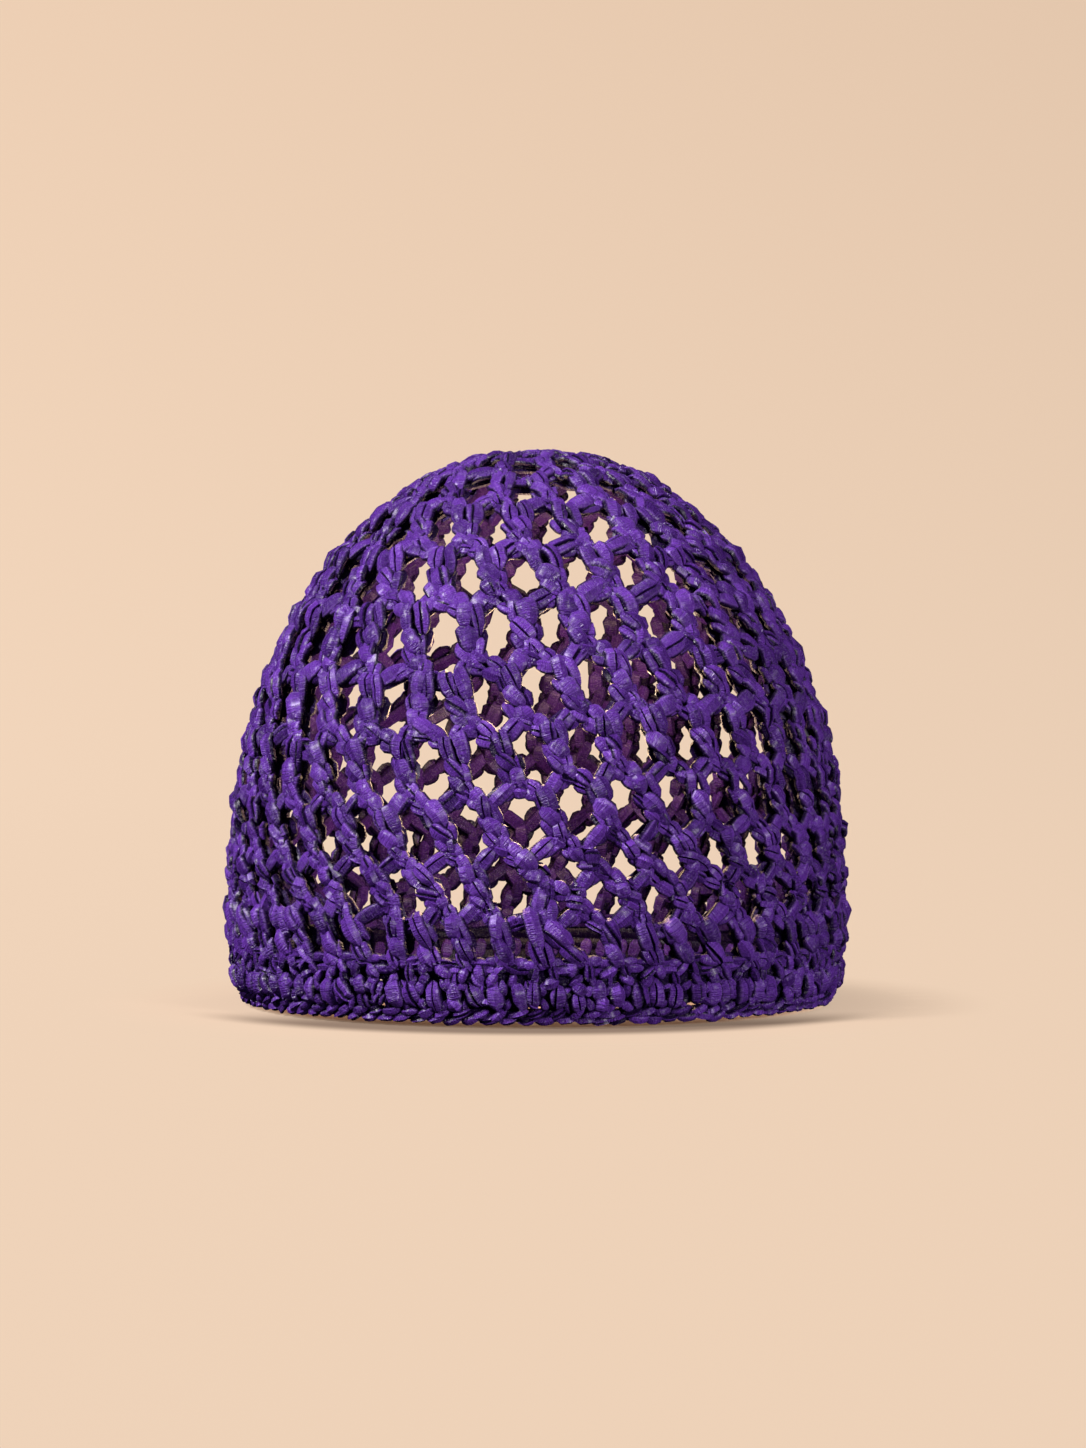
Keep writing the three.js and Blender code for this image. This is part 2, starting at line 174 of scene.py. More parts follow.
def chain(order, closed, node):
    n = len(order)
    for i in range(n if closed else n - 1):
        (ka, a), (kb, b) = order[i], order[(i + 1) % n]
        links.append((a["knot"], b["knot"], (ka, kb), node))


def even_turns(count, phase):
    return [rad(phase) + TAU * i / count for i in range(count)]


def hang_feet(ends, closed, turns):
    """Feet along a chain at the turns given, but clear of the sides of each space."""
    feet, order = [], []
    for j in range(len(ends) if closed else len(ends) - 1):
        order.append(("end", ends[j]))
        a = ends[j]["turn"]
        b = ends[j + 1]["turn"] if j + 1 < len(ends) else ends[0]["turn"] + TAU
        for f in sorted((t - a) % TAU / (b - a) for t in turns):
            if f >= 1:
                break
            spot = min(max(f, FOOT_SPOT[0]), FOOT_SPOT[1])
            foot = {"turn": a + (b - a) * spot, "even": a + (b - a) * f}
            feet.append(foot)
            order.append(("foot", foot))
    if not closed:
        order.append(("end", ends[-1]))
    return feet, order


def ends_for(feet, lean):
    return [{"turn": f["even"] + rad(lean)} for f in feet]


def build_lattice():
    layout = []
    feet = [{"turn": t, "even": t} for t in even_turns(ROUNDS[0][0], ROUNDS[0][1])]
    order = [("foot", f) for f in feet]
    for index, r in enumerate(ROUNDS):
        ends = ends_for(feet, r[4])
        layout.append((r, index, feet, ends, order))
        if index + 1 < len(ROUNDS):
            below = ROUNDS[index + 1]
            feet, order = hang_feet(ends, True, even_turns(below[0], below[1]))
    for r, index, feet, ends, order in layout:
        for foot, end in zip(feet, ends):
            arc = START_RING if index == 0 else chain_arc(index - 1, foot["turn"]) + FOOT_DROP
            foot["knot"] = knot(foot["turn"], arc, index == 0)
            end["knot"] = knot(end["turn"], chain_arc(index, end["turn"]) - CHAIN_LIFT)
            posts.append((foot["knot"], end["knot"], r[5], r[6], index))
        chain(order, True, f"open_round_{index:02d}" if index else "start_ring")

    top = len(ROUNDS) - 1
    ends = sorted(layout[-1][3], key=lambda e: wrap(e["turn"]))
    for e in ends:
        e["turn"] = wrap(e["turn"])
    inside = [rad(WEDGE["start"]) < e["turn"] < rad(WEDGE["stop"]) for e in ends]
    start = inside.index(True)
    wedge = [e for e, i in zip(ends, inside) if i]
    rest = ends[start + len(wedge) - 1:] + [dict(e, turn=e["turn"] + TAU) for e in ends[:start + 1]]

    spots = [p["turn"] + (q["turn"] - p["turn"]) * WEDGE["foot_at"]
             for p, q in zip(wedge, wedge[1:])]
    feet, order = hang_feet(wedge, False, spots)
    short = ends_for(feet, WEDGE["lean"])
    for foot, end in zip(feet, short):
        foot["knot"] = knot(foot["turn"], chain_arc(top, foot["turn"]) + FOOT_DROP)
        end["knot"] = knot(end["turn"], WEDGE["chain"] - CHAIN_LIFT)
        posts.append((foot["knot"], end["knot"], WEDGE["foot"], WEDGE["end"], 10))
    chain(order, False, "open_round_10")

    turns = even_turns(LAST["posts"], LAST["phase"])
    on_rest = hang_feet(rest, False, turns)
    branch = [dict(wedge[0])] + short + [dict(wedge[-1])]
    on_short = hang_feet(branch, False, turns)
    on_short[0][0]["turn"] -= rad(WEDGE["clear"])
    on_short[0][-1]["turn"] += rad(WEDGE["clear"])
    last_feet = []
    for part, (feet, order) in (("short", on_short), ("rest", on_rest)):
        for foot in feet:
            above = WEDGE["chain"] if part == "short" else chain_arc(top, foot["turn"])
            foot["knot"] = knot(foot["turn"], above + FOOT_DROP)
            last_feet.append(foot)
        chain(order, False, "short_round" if part == "short" else "open_round_10")
    last_ends = ends_for(last_feet, LAST["lean"])
    for foot, end in zip(last_feet, last_ends):
        end["knot"] = knot(end["turn"], LAST["chain"], True)
        posts.append((foot["knot"], end["knot"], LAST["foot"], LAST["end"], 11))
    chain([("end", e) for e in last_ends], True, "close_round_11")
    return last_ends


last_ends = build_lattice()

# ---------------------------------------------------------------------------
# Straps: short lengths of the folded ribbon, swept along a curve
# ---------------------------------------------------------------------------


class Bucket:
    """Collects the straps of one piece."""

    def __init__(self, name):
        self.name = name
        self.verts, self.marks, self.shades, self.quads, self.caps = [], [], [], [], []
        self.count = 0
        self.tris = 0


def curve_through(pts, t):
    """A smooth curve through pts at the parameters t, from 0 to 1."""
    p = np.vstack([2 * pts[0] - pts[1], pts, 2 * pts[-1] - pts[-2]])
    seg = np.linalg.norm(np.diff(pts, axis=0), axis=1) + 1e-6
    at = np.concatenate([[0], np.cumsum(seg)]) / seg.sum()
    i = np.clip(np.searchsorted(at, t, side="right") - 1, 0, len(pts) - 2)
    u = ((t - at[i]) / (at[i + 1] - at[i]))[:, None]
    p0, p1, p2, p3 = p[i], p[i + 1], p[i + 2], p[i + 3]
    return 0.5 * ((2 * p1) + (p2 - p0) * u + (2 * p0 - 5 * p1 + 4 * p2 - p3) * u ** 2
                  + (3 * p1 - p0 - 3 * p2 + p3) * u ** 3)


# How a strap begins or ends: share of its length, share of its full width.
TIPS = {
    "hook": ((0.0, 0.50), (0.08, 0.84), (0.22, 1.0)),
    "leaf": ((0.0, 0.24), (0.11, 0.70), (0.30, 0.98)),
    "cut": ((0.0, 0.34), (0.12, 0.78), (0.30, 1.0)),
    "point": ((0.0, 0.12), (0.15, 0.56), (0.36, 0.96)),
}
# The folded ribbon, across and through, with how open each corner lies: a broad
# fold, a small one, and one on the inside of the cap. Less open corners, on the
# sides and underneath, are painted darker: painted shade between the straps.
SECTION = (
    (-1.0, -0.35, 0.36), (-0.94, 0.20, 0.46), (-0.72, 0.66, 0.90), (-0.36, 0.90, 1.0),
    (0.0, 1.0, 1.0), (0.36, 0.90, 1.0), (0.72, 0.66, 0.90), (0.94, 0.20, 0.46),
    (1.0, -0.35, 0.36), (0.0, -0.95, 0.80),
)
SMALL = (
    (-1.0, -0.30, 0.36), (-0.92, 0.25, 0.48), (-0.60, 0.80, 0.95), (0.0, 1.0, 1.0),
    (0.60, 0.80, 0.95), (0.92, 0.25, 0.48), (1.0, -0.30, 0.36), (0.0, -0.95, 0.80),
)
PLAIN = ((-0.72, 0.8, 0.95), (0.72, 0.8, 0.95), (1.0, -0.1, 0.75), (0.6, -0.85, 0.7),
         (-0.6, -0.85, 0.7), (-1.0, -0.1, 0.75))
# How its top lies across those corners: a ridge, a crease, one layer lapped over
# another, or flat.
TOPS = {
    5: (((-0.72, 0.48, 0.90), (-0.36, 0.80, 1.0), (0.0, 1.20, 1.0), (0.36, 0.80, 1.0),
         (0.72, 0.48, 0.90)),
        ((-0.74, 0.78, 0.95), (-0.13, 1.04, 1.0), (0.0, 0.30, 0.02), (0.13, 1.04, 1.0),
         (0.74, 0.78, 0.95)),
        ((-0.72, 0.62, 0.95), (-0.02, 1.16, 1.0), (0.06, 0.42, 0.02), (0.46, 0.74, 1.0),
         (0.76, 0.60, 0.90)),
        ((-0.78, 0.72, 0.92), (-0.36, 0.96, 1.0), (0.0, 1.0, 1.0), (0.36, 0.94, 1.0),
         (0.78, 0.70, 0.92))),
    3: (((-0.58, 0.52, 0.92), (0.0, 1.18, 1.0), (0.58, 0.52, 0.92)),
        ((-0.40, 0.96, 0.98), (0.0, 0.34, 0.05), (0.40, 0.96, 0.98)),
        ((-0.66, 0.56, 0.92), (0.06, 1.10, 1.0), (0.20, 0.40, 0.10)),
        ((-0.66, 0.80, 0.92), (0.0, 1.0, 1.0), (0.66, 0.78, 0.92))),
}
TOP_SHARE = {5: (0.28, 0.24, 0.26, 0.22), 3: (0.40, 0.12, 0.22, 0.26)}
SMALL_WIDTH = 3.6


CRUMPLE = 0.055


def strap(bucket, pts, normal, width, thick, head="cut", tail="cut", steps=3, roll=0.0,
          twist=0.0, tone=None, plain=False, open_=1.0):
    """One strap through the points pts, its flat side facing normal. steps is
    the number of lengths between its two tips."""
    pts = np.asarray(pts, float)
    h, e = TIPS[head], TIPS[tail]
    mid = np.linspace(h[2][0], 1 - e[2][0], steps + 1)[1:-1]
    t = np.array([h[0][0], h[1][0], h[2][0], *mid, 1 - e[2][0], 1 - e[1][0], 1.0])
    shape = np.array([h[0][1], h[1][1], h[2][1], *([1.0] * len(mid)), e[2][1], e[1][1], e[0][1]])
    n_rows = len(t)
    c = curve_through(pts, t)
    fine = curve_through(pts, np.clip(np.stack([t - 0.02, t + 0.02]), 0, 1).ravel()).reshape(2, -1, 3)
    tan = fine[1] - fine[0]
    tan /= np.linalg.norm(tan, axis=1)[:, None] + 1e-9
    # a frame that turns as little as it can, from the middle out to both ends
    m = n_rows // 2
    up = np.empty_like(c)
    n = normal - tan[m] * np.dot(normal, tan[m])
    up[m] = n / (np.linalg.norm(n) + 1e-9)
    for rng in (range(m + 1, n_rows), range(m - 1, -1, -1)):
        for i in rng:
            j = i - 1 if i > m else i + 1
            n = up[j] - tan[i] * np.dot(up[j], tan[i])
            up[i] = n / (np.linalg.norm(n) + 1e-9)
    side = np.cross(tan, up)
    if roll or twist:
        a = roll + twist * (t - 0.5)
        ca, sa = np.cos(a)[:, None], np.sin(a)[:, None]
        up, side = up * ca + side * sa, side * ca - up * sa
    s = np.array(PLAIN if plain else SMALL if width < SMALL_WIDTH else SECTION)
    x = np.repeat(s[None, :, 0], n_rows, 0)
    y = np.repeat(s[None, :, 1], n_rows, 0)
    if not plain:
        # a fold along the strap that wanders from side to side
        n_top = len(s) - 5
        top = np.array(TOPS[n_top][RNG.choice(4, p=TOP_SHARE[n_top])])
        if RNG.random() < 0.5:
            top = top[::-1] * (-1, 1, 1)
        s[2:2 + n_top] = top
        x[:, 2:2 + n_top] = top[:, 0]
        y[:, 2:2 + n_top] = top[:, 1]
        inner = slice(3, 1 + n_top)
        x[:, inner] += (RNG.uniform(-0.2, 0.2)
                        + RNG.uniform(-0.22, 0.22) * (t - 0.5) * 2)[:, None]
        y[:, 1:3 + n_top] += RNG.normal(0, CRUMPLE, (n_rows, n_top + 2))
        y += RNG.normal(0, CRUMPLE, (n_rows, 1))
        x[:, :n_top + 4] *= 1 + RNG.normal(0, 0.03, (n_rows, 1))
    around = x.shape[1]
    wob = 1 + RNG.normal(0, 0.03, n_rows)
    w = (width / 2 * shape * wob)[:, None] * x
    hgt = (thick / 2 * (0.45 + 0.55 * shape))[:, None] * y
    v = c[:, None] + side[:, None] * w[..., None] + up[:, None] * hgt[..., None]
    length = np.linalg.norm(np.diff(c, axis=0), axis=1).sum()
    mark = np.empty((n_rows, around, 3))
    mark[..., 0] = x
    mark[..., 1] = (t * length)[:, None] + RNG.uniform(0, 50)
    mark[..., 2] = RNG.random() if tone is None else tone
    # painted shade: the less open corners and the tucked ends of the strap are painted darker
    ends = np.clip(np.minimum(t, 1 - t) / 0.09, 0, 1)
    shade = s[None, :, 2] * (0.35 + 0.65 * ends)[:, None] * open_
    base = bucket.count
    i = np.arange(n_rows - 1)[:, None]
    j = np.arange(around)[None]
    k = (j + 1) % around
    quads = np.stack([base + i * around + j + 0 * k, base + i * around + k,
                      base + (i + 1) * around + k, base + (i + 1) * around + j], axis=-1)
    bucket.quads.append(quads.reshape(-1, 4))
    bucket.caps.append(base + np.arange(around)[::-1])
    bucket.caps.append(base + (n_rows - 1) * around + np.arange(around))
    bucket.verts.append(v.reshape(-1, 3))
    bucket.marks.append(mark.reshape(-1, 3))
    bucket.shades.append(shade.ravel())
    bucket.count += n_rows * around
    bucket.tris += 2 * (n_rows - 1) * around + 2 * (around - 2)


class Patch:
    """A flat local frame on the fabric: u runs from one knot to another, v lies
    across it, to the right of a downward u, and w outwards."""

    def __init__(self, turn0, arc0, turn1, arc1, half=1.0):
        self.turn0, self.arc0 = turn0, arc0
        r = max(0.5 * (radius_at(arc0) + radius_at(arc1)), 1.0)
        dx, dy = wrap(turn1 - turn0) * r, arc1 - arc0
        self.length = max(math.hypot(dx, dy), 0.5)
        self.ax, self.ay = dx / self.length, dy / self.length
        self.half = half

    def points(self, ctrl):
        """ctrl rows are u as a share of the length, v as a share of the half
        width, and w in millimetres."""
        ctrl = np.asarray(ctrl, float)
        u = ctrl[:, 0] * self.length
        v = ctrl[:, 1] * self.half
        x = self.ax * u + self.ay * v
        y = self.ay * u - self.ax * v
        s = self.arc0 + y
        r = np.maximum(np.interp(s, ARC, RADIUS), 2.0)
        turn = self.turn0 + x / r
        return surf(turn, s, ctrl[:, 2]), turn, s

    def strap(self, bucket, ctrl, width, thick, inward=False, **kw):
        p, turn, s = self.points(ctrl)
        m = len(ctrl) // 2
        n = surf_normal(turn[m], s[m])
        strap(bucket, p, -n if inward else n, width, thick, **kw)


def vary(ctrl, u=0.012, v=0.05, w=0.14):
    c = np.array(ctrl, float)
    c[:, 0] += RNG.normal(0, u) + RNG.normal(0, u * 0.5, len(c))
    c[:, 1] += RNG.normal(0, v) + RNG.normal(0, v * 0.5, len(c))
    c[:, 2] += RNG.normal(0, w) + RNG.normal(0, w * 0.3, len(c))
    return c


def wide(x, share=0.08):
    return x * (1 + float(np.clip(RNG.normal(0, share), -2 * share, 2 * share)))


node_names = (["start_ring"] + [f"open_round_{i:02d}" for i in range(1, 11)]
              + ["short_round", "close_round_11", "rim_band", "rim_edge"])

# Ways that a tall stitch lies, as folds of the ribbon. Each fold runs from (u, v)
# to (u, v) in its patch: u along the stitch, v across it; then its width, how far
# it stands out, how far it bows aside, and how it begins.
POSTS = (
    (
        (-0.18, -0.26, 0.34, -0.44, 4.5, 1.5, -0.08, "hook"),
        (-0.18, 0.52, 0.42, 0.62, 3.5, 1.4, 0.12, "hook"),
        (0.26, -0.10, 0.72, 0.52, 4.6, 1.8, 0.05, "leaf"),
        (0.30, -0.82, 0.74, -0.40, 3.6, 1.3, -0.08, "leaf"),
        (0.60, 0.58, 1.02, 0.18, 3.8, 1.3, 0.05, "leaf"),
        (0.62, -0.55, 1.10, 0.0, 3.9, 1.7, 0.0, "leaf"),
    ),
    (
        (-0.18, 0.14, 0.42, 0.22, 5.3, 1.6, 0.05, "hook"),
        (-0.14, -0.70, 0.38, -0.74, 2.8, 1.1, -0.15, "hook"),
        (0.28, -0.62, 0.80, 0.38, 4.9, 1.9, 0.0, "leaf"),
        (0.38, 0.86, 0.80, 0.72, 2.7, 0.7, 0.10, "point"),
        (0.60, -0.82, 1.02, -0.32, 3.3, 1.0, -0.05, "leaf"),
        (0.70, 0.42, 1.12, 0.05, 3.8, 1.4, 0.0, "leaf"),
    ),
    (
        (-0.18, -0.46, 0.44, -0.52, 3.8, 1.6, -0.15, "hook"),
        (-0.18, 0.46, 0.48, 0.52, 3.9, 1.6, 0.15, "hook"),
        (0.34, -0.75, 0.84, 0.34, 4.8, 1.9, 0.0, "cut"),
        (0.46, 0.72, 0.94, 0.45, 3.5, 1.2, 0.08, "leaf"),
        (0.68, -0.62, 1.10, -0.05, 3.9, 1.5, 0.0, "leaf"),
    ),
    (
        (-0.18, -0.14, 0.30, -0.58, 4.8, 1.5, -0.05, "hook"),
        (-0.14, 0.58, 0.54, 0.68, 3.3, 1.3, 0.14, "hook"),
        (0.20, -0.87, 0.62, -0.66, 2.9, 0.8, -0.10, "leaf"),
        (0.30, -0.18, 0.86, 0.18, 5.2, 1.9, 0.0, "cut"),
        (0.60, 0.80, 1.00, 0.44, 3.1, 1.0, 0.06, "leaf"),
        (0.66, -0.74, 1.10, -0.14, 3.7, 1.4, -0.04, "leaf"),
    ),
)
LAST_POSTS = (
    (
        (-0.15, -0.14, 0.66, 0.02, 5.4, 1.7, -0.05, "hook"),
        (-0.06, 0.74, 0.48, 0.84, 2.9, 0.8, 0.10, "hook"),
        (0.46, -0.60, 1.00, -0.25, 4.4, 1.5, -0.05, "leaf"),
        (0.56, 0.55, 1.04, 0.35, 4.0, 1.3, 0.05, "leaf"),
    ),
    (
        (-0.15, 0.16, 0.52, 0.36, 5.2, 1.6, 0.10, "hook"),
        (-0.10, -0.72, 0.40, -0.72, 3.0, 0.9, -0.10, "hook"),
        (0.32, -0.36, 0.98, 0.12, 5.4, 1.9, 0.0, "leaf"),
        (0.68, 0.72, 1.06, 0.50, 3.2, 0.9, 0.05, "leaf"),
    ),
)
# The folds on the inside of a stitch.
BACKS = (
    (-0.14, 0.35, 0.38, -0.40, 4.1, 1.6, 0.0, "leaf"),
    (0.22, 0.45, 0.74, 0.25, 4.1, 2.0, 0.1, "leaf"),
    (0.56, -0.40, 1.10, 0.0, 4.1, 1.7, 0.0, "leaf"),
)


def fold(bucket, patch, row, scale=1.0, sink=1.4, loose=1.0, lift=1.25, inward=False,
         plain=False, open_=1.0, thick=2.3):
    """One fold of the ribbon: it stands out in the middle and dives at its ends."""
    u0, v0, u1, v1, width, w, bow, head = row
    du, dv = RNG.normal(0, 0.02 * loose), RNG.normal(0, 0.09 * loose)
    u0, u1 = u0 + du + RNG.normal(0, 0.012 * loose), u1 + du + RNG.normal(0, 0.012 * loose)
    v0, v1 = v0 + dv + RNG.normal(0, 0.08 * loose), v1 + dv + RNG.normal(0, 0.08 * loose)
    w = w * lift + RNG.normal(0, 0.22)
    sign = -1.0 if inward else 1.0
    at = np.array([0.0, 0.2, 0.5, 0.8, 1.0])
    out = np.array([w - sink, w - 0.25, w, w - 0.25, w - sink])
    if head == "hook":
        at = np.array([0.0, 0.07, 0.24, 0.48, 0.78, 1.0])
        out = np.array([0.1, w + 0.25, w + 0.85 * min(lift, 1.0), w + 0.45 * min(lift, 1.0), w - 0.1,
                        w - sink])
    ctrl = np.stack([u0 + (u1 - u0) * at, v0 + (v1 - v0) * at + bow * np.sin(at * math.pi),
                     sign * out], axis=1)
    patch.strap(bucket, ctrl, wide(width * scale), thick * RNG.uniform(0.85, 1.15), inward=inward,
                head="hook" if head == "hook" else head,
                tail=("leaf", "cut", "leaf", "point")[RNG.integers(4)],
                steps=1 if plain or width * scale < SMALL_WIDTH else 3 if head == "hook" else 2,
                roll=RNG.normal(0, 0.22), twist=RNG.normal(0, 0.35), plain=plain, open_=open_)


# How thick the stitches of each round look: the crown is worked tighter.
FULLNESS = (0.86, 0.98, 1.10, 1.20, 1.20, 1.14, 1.06, 0.99, 0.97, 0.96, 0.96, 0.96)
CHAIN_FULLNESS = (0.90, 1.00, 1.12, 1.32, 1.44, 1.40, 1.26, 1.14, 1.08, 1.08, 1.08, 1.12)


def make_post(bucket, post):
    foot, end, half_foot, half_end, number = post
    (t0, s0), (t1, s1) = knots[foot], knots[end]
    half = (0.5 * (half_foot + half_end) + 0.1) * FULLNESS[number]
    patch = Patch(t0, s0, t1, s1, half)
    last = number == 11
    k = half / (2.65 if last else 3.2)
    rows = (LAST_POSTS + POSTS[::3] if last else POSTS)[RNG.integers(4)]
    for row in rows:
        row = list(row)
        if row[7] == "hook":     # on a short post the loops still reach over the chain
            row[0] *= 14.5 / max(patch.length, 6.0)
        if number == 0:
            row[1] *= min(max(0.42 + 0.9 * row[0], 0.4), 1.2)
            row[3] *= min(max(0.42 + 0.9 * row[2], 0.4), 1.2)
        row[1] -= 0.10           # the folds lean further than the stitch
        row[3] += 0.16
        row[4] *= 1.04
        fold(bucket, patch, row, k * (0.82 + 0.18 * min(1.0, patch.length / 9.0)), loose=0.8,
             lift=min(1.15, 0.25 + 0.24 * number), thick=3.1 if last else 2.5)
    # painted shade: the inner folds are painted a little darker, and the core behind them nearly to
    # the deep colour
    for row in BACKS:
        fold(bucket, patch, row, k, inward=True, plain=True, open_=0.74)
    patch.strap(bucket, [(-0.02, 0, -0.9), (0.5, 0, -0.8), (1.02, 0, -0.9)], 4.2 * k, 1.9,
                head="hook", tail="hook", steps=1, plain=True, tone=0.0, open_=0.34)


# Ways that a chain lies between its knots, by the kinds of its two knots.
LINKS = {
    ("end", "foot"): (
        (-0.18, 0.50, 0.40, 0.10, 3.4, 1.5, 0.15, "leaf"),
        (-0.06, -0.72, 0.44, -0.40, 3.0, 1.3, -0.12, "leaf"),
        (0.30, 0.62, 0.84, 0.02, 3.4, 1.9, 0.12, "leaf"),
        (0.40, -0.72, 0.98, -0.20, 3.1, 1.5, -0.10, "leaf"),
    ),
    ("foot", "end"): (
        (0.08, -0.05, 0.96, 0.05, 4.1, 1.9, 0.0, "leaf"),
        (0.40, -0.70, 1.00, -0.70, 2.6, 0.8, -0.05, "point"),
    ),
    "other": (
        (-0.12, 0.20, 0.56, 0.40, 2.7, 1.1, 0.05, "leaf"),
        (0.10, -0.48, 0.90, -0.44, 2.6, 0.9, -0.05, "leaf"),
        (0.42, 0.30, 1.10, 0.10, 2.7, 1.2, 0.0, "leaf"),
    ),
}


def make_link(bucket, link):
    a, b, kinds, node = link
    (t0, s0), (t1, s1) = knots[a], knots[b]
    full = CHAIN_FULLNESS[max(node_names.index(node) - 1, 0)]
    p = Patch(t0, s0, t1, s1, 2.3 * full)
    rows = LINKS.get(kinds, LINKS["other"])
    k = min(1.08, 0.62 + p.length / 16.0) * full
    if p.length < 3.4:
        rows = rows[:1]
    for row in rows:
        fold(bucket, p, row, k, sink=1.1, loose=1.3, lift=0.85)
    # the strands behind, which close the chain at the back; they are painted darker, the core nearly
    # to the deep colour, as painted shade
    fold(bucket, p, (-0.12, 0.2, 1.10, -0.15, 3.4, 1.4, 0.1, "leaf"), k, inward=True, plain=True,
         open_=0.74)
    p.strap(bucket, [(-0.05, 0, -0.8), (0.5, 0, -0.8), (1.05, 0, -0.8)], 3.0, 1.6, head="hook",
            tail="hook", steps=1, plain=True, tone=0.0, open_=0.34)


def make_knot_cluster(bucket, post):
    """The little loops that meet where a post ends on its chain."""
    foot, end, half_foot, half_end, number = post
    (t0, s0), (t1, s1) = knots[foot], knots[end]
    lean = math.atan2(wrap(t1 - t0) * radius_at(s1), s1 - s0)
    r = max(radius_at(s1), 2.0)
    for angle, reach, width in ((lean - 0.85, 3.0, 2.2), (lean + 0.95, 3.2, 2.3)):
        a = angle + RNG.normal(0, 0.25)
        dx, dy = math.sin(a), math.cos(a)
        p = Patch(t1 + 0.2 * dx / r, s1 + 0.3, t1 + dx * reach / r, s1 + 0.3 + dy * reach, 1.0)
        p.strap(bucket, [(-0.35, 0, 0.1), (0.1, 0, 1.2), (0.6, 0, 1.3), (1.1, 0, 0.1)],
                wide(width), 1.7, head="leaf", tail="leaf", steps=2, roll=RNG.normal(0, 0.25))


buckets = {name: Bucket(name + "_stitches") for name in node_names}
for post in posts:
    home = buckets[node_names[post[4] + 1]]
    make_post(home, post)
    if post[4] != 11:
        make_knot_cluster(home, post)
for link in links:
    make_link(buckets[link[3]], link)

# ---------------------------------------------------------------------------
# Band and edge
# ---------------------------------------------------------------------------

band = buckets["rim_band"]
edge = buckets["rim_edge"]
close = buckets["close_round_11"]


def bead(bucket, turn, arc, length, width, thick, tilt, w=1.2, sink=0.9, **kw):
    """A leaf-shaped strap centred at a turn and an arc; tilt is its slant from
    the vertical, positive with its lower end to the right."""
    r = radius_at(min(arc, ARC_END))
    dx, dy = math.sin(tilt) * length / 2, math.cos(tilt) * length / 2
    p = Patch(turn - dx / r, arc - dy, turn + dx / r, arc + dy, 1.0)
    p.strap(bucket, [(0.0, 0, w - sink), (0.22, 0, w - 0.15), (0.5, 0, w + 0.15),
                     (0.78, 0, w - 0.15), (1.0, 0, w - sink)], width, thick, **kw)


# small uneven loops where the last posts meet the band
for i, e in enumerate(last_ends):
    t, s = knots[e["knot"]]
    for side in (-1, 1):
        bead(close, t + side * rad(1.6) + rad(RNG.normal(0, 0.4)),
             s + 1.6 + RNG.normal(0, 0.7), wide(4.8), wide(3.1), 2.1,
             0.6 * side + RNG.normal(0, 0.4), w=RNG.normal(1.7, 0.3), head="leaf",
             tail=("leaf", "cut")[RNG.integers(2)], steps=2, roll=RNG.normal(0, 0.25))
    for off in (-1.7, 1.6):
        bead(close, t + rad(off + RNG.normal(0, 0.5)), s + 4.2 + RNG.normal(0, 0.5), wide(4.2),
             wide(3.0), 2.0, RNG.normal(0.1, 0.6), w=RNG.normal(1.4, 0.3), head="leaf",
             tail="cut", steps=2, roll=RNG.normal(0, 0.25))
# the short stitches: most are one long fold, the others two small ones
SINGLES = 96
for i in range(SINGLES):
    t = TAU * (i + RNG.normal(0, 0.10)) / SINGLES
    lean = 0.15 + RNG.normal(0, 0.18)
    look = dict(roll=RNG.normal(0, 0.2), twist=RNG.normal(0, 0.3))
    if RNG.random() < 0.74:
        bead(band, t, 203.0 + RNG.normal(0, 0.4), wide(7.2, 0.08), wide(5.0, 0.1), 3.0, lean,
             w=1.8 + RNG.normal(0, 0.25), sink=1.6, head="leaf", tail="cut", steps=3, **look)
    else:
        bead(band, t + rad(RNG.normal(0, 0.3)), 201.3 + RNG.normal(0, 0.4), wide(4.6),
             wide(4.2), 2.7, lean + RNG.normal(0, 0.5), w=1.6 + RNG.normal(0, 0.25), sink=1.3,
             head="leaf", tail="leaf", steps=2, **look)
        bead(band, t + rad(RNG.normal(0.3, 0.3)), 204.8 + RNG.normal(0, 0.4), wide(4.6),
             wide(4.4), 2.7, lean + RNG.normal(0, 0.5), w=1.7 + RNG.normal(0, 0.25), sink=1.3,
             head="leaf", tail="leaf", steps=2, **look)
    for off, arc in ((0.46, 201.0), (0.52, 205.4)):
        bead(band, t + TAU / SINGLES * (off + RNG.normal(0, 0.08)), arc + RNG.normal(0, 0.6),
             wide(3.8, 0.14), wide(2.6, 0.14), 2.0, lean + RNG.normal(0, 0.6),
             w=1.3 + RNG.normal(0, 0.25), head="point", tail="leaf", steps=2)
    bead(band, t + TAU / SINGLES * 0.25, 203.0, 6.6, 3.8, 1.7, 0.2, w=-2.2, sink=-0.8,
         steps=2, plain=True, inward=True)
# continuous cores, so that the band and the edge close; they are painted dark, as painted shade
# between the straps
CORE = 24
for s, w, width, thick, bucket in ((197.6, -0.7, 4.6, 2.2, close), (201.3, -0.7, 4.6, 2.2, band),
                                   (205.0, -0.7, 4.2, 2.2, band), (208.9, -0.8, 3.4, 2.2, edge),
                                   (211.2, -1.3, 2.4, 1.8, edge)):
    for i in range(CORE):
        turn = TAU * i / CORE + np.linspace(-0.01, TAU / CORE + 0.01, 6)
        p = surf(turn, np.full(6, s), np.full(6, w))
        strap(bucket, p, surf_normal(turn[3], np.float64(s)), width, thick, head="hook",
              tail="hook", steps=2, plain=True, tone=0.0, open_=0.45)

